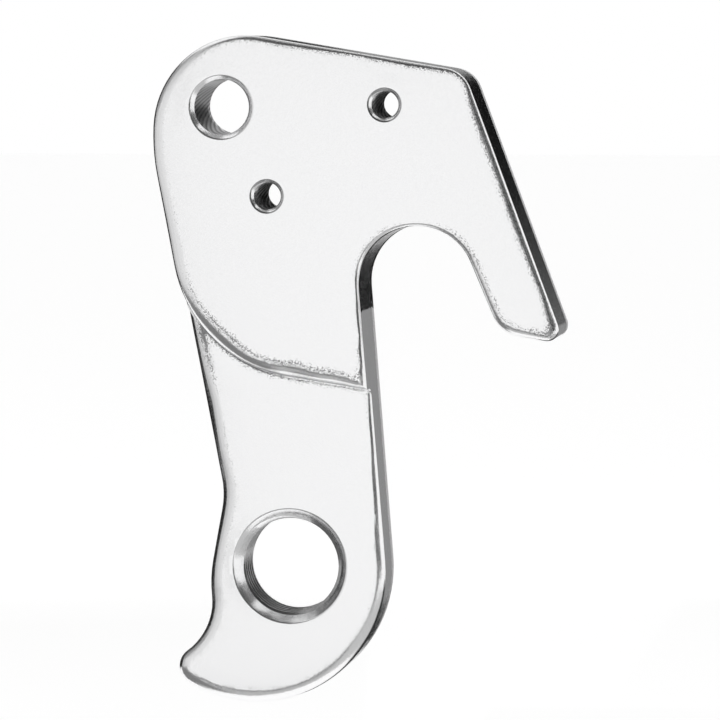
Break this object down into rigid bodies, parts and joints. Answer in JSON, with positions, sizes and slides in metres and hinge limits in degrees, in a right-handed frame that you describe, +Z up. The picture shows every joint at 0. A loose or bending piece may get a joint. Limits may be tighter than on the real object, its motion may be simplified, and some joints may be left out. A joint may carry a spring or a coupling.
{
  "type": "derailleur hanger",
  "caption": "Stepped bicycle derailleur hanger: thick pad with an open axle slot and frame-screw holes, and a thinner curved leg with a tapped derailleur hole and a stop claw.",
  "frame": {"origin": "on the flat back face, halfway between the axes of the two frame-screw holes", "axes": "+X forwards on the bicycle, +Y inboard along the hole axes and out of the back face, +Z up as the hanger sits on the bicycle"},
  "size_m": [0.038, 0.0092, 0.0625],
  "materials": {
    "body": "satin"
  },
  "bodies": {
    "root": {"hanger": "body"}
  },
  "joints": []
}
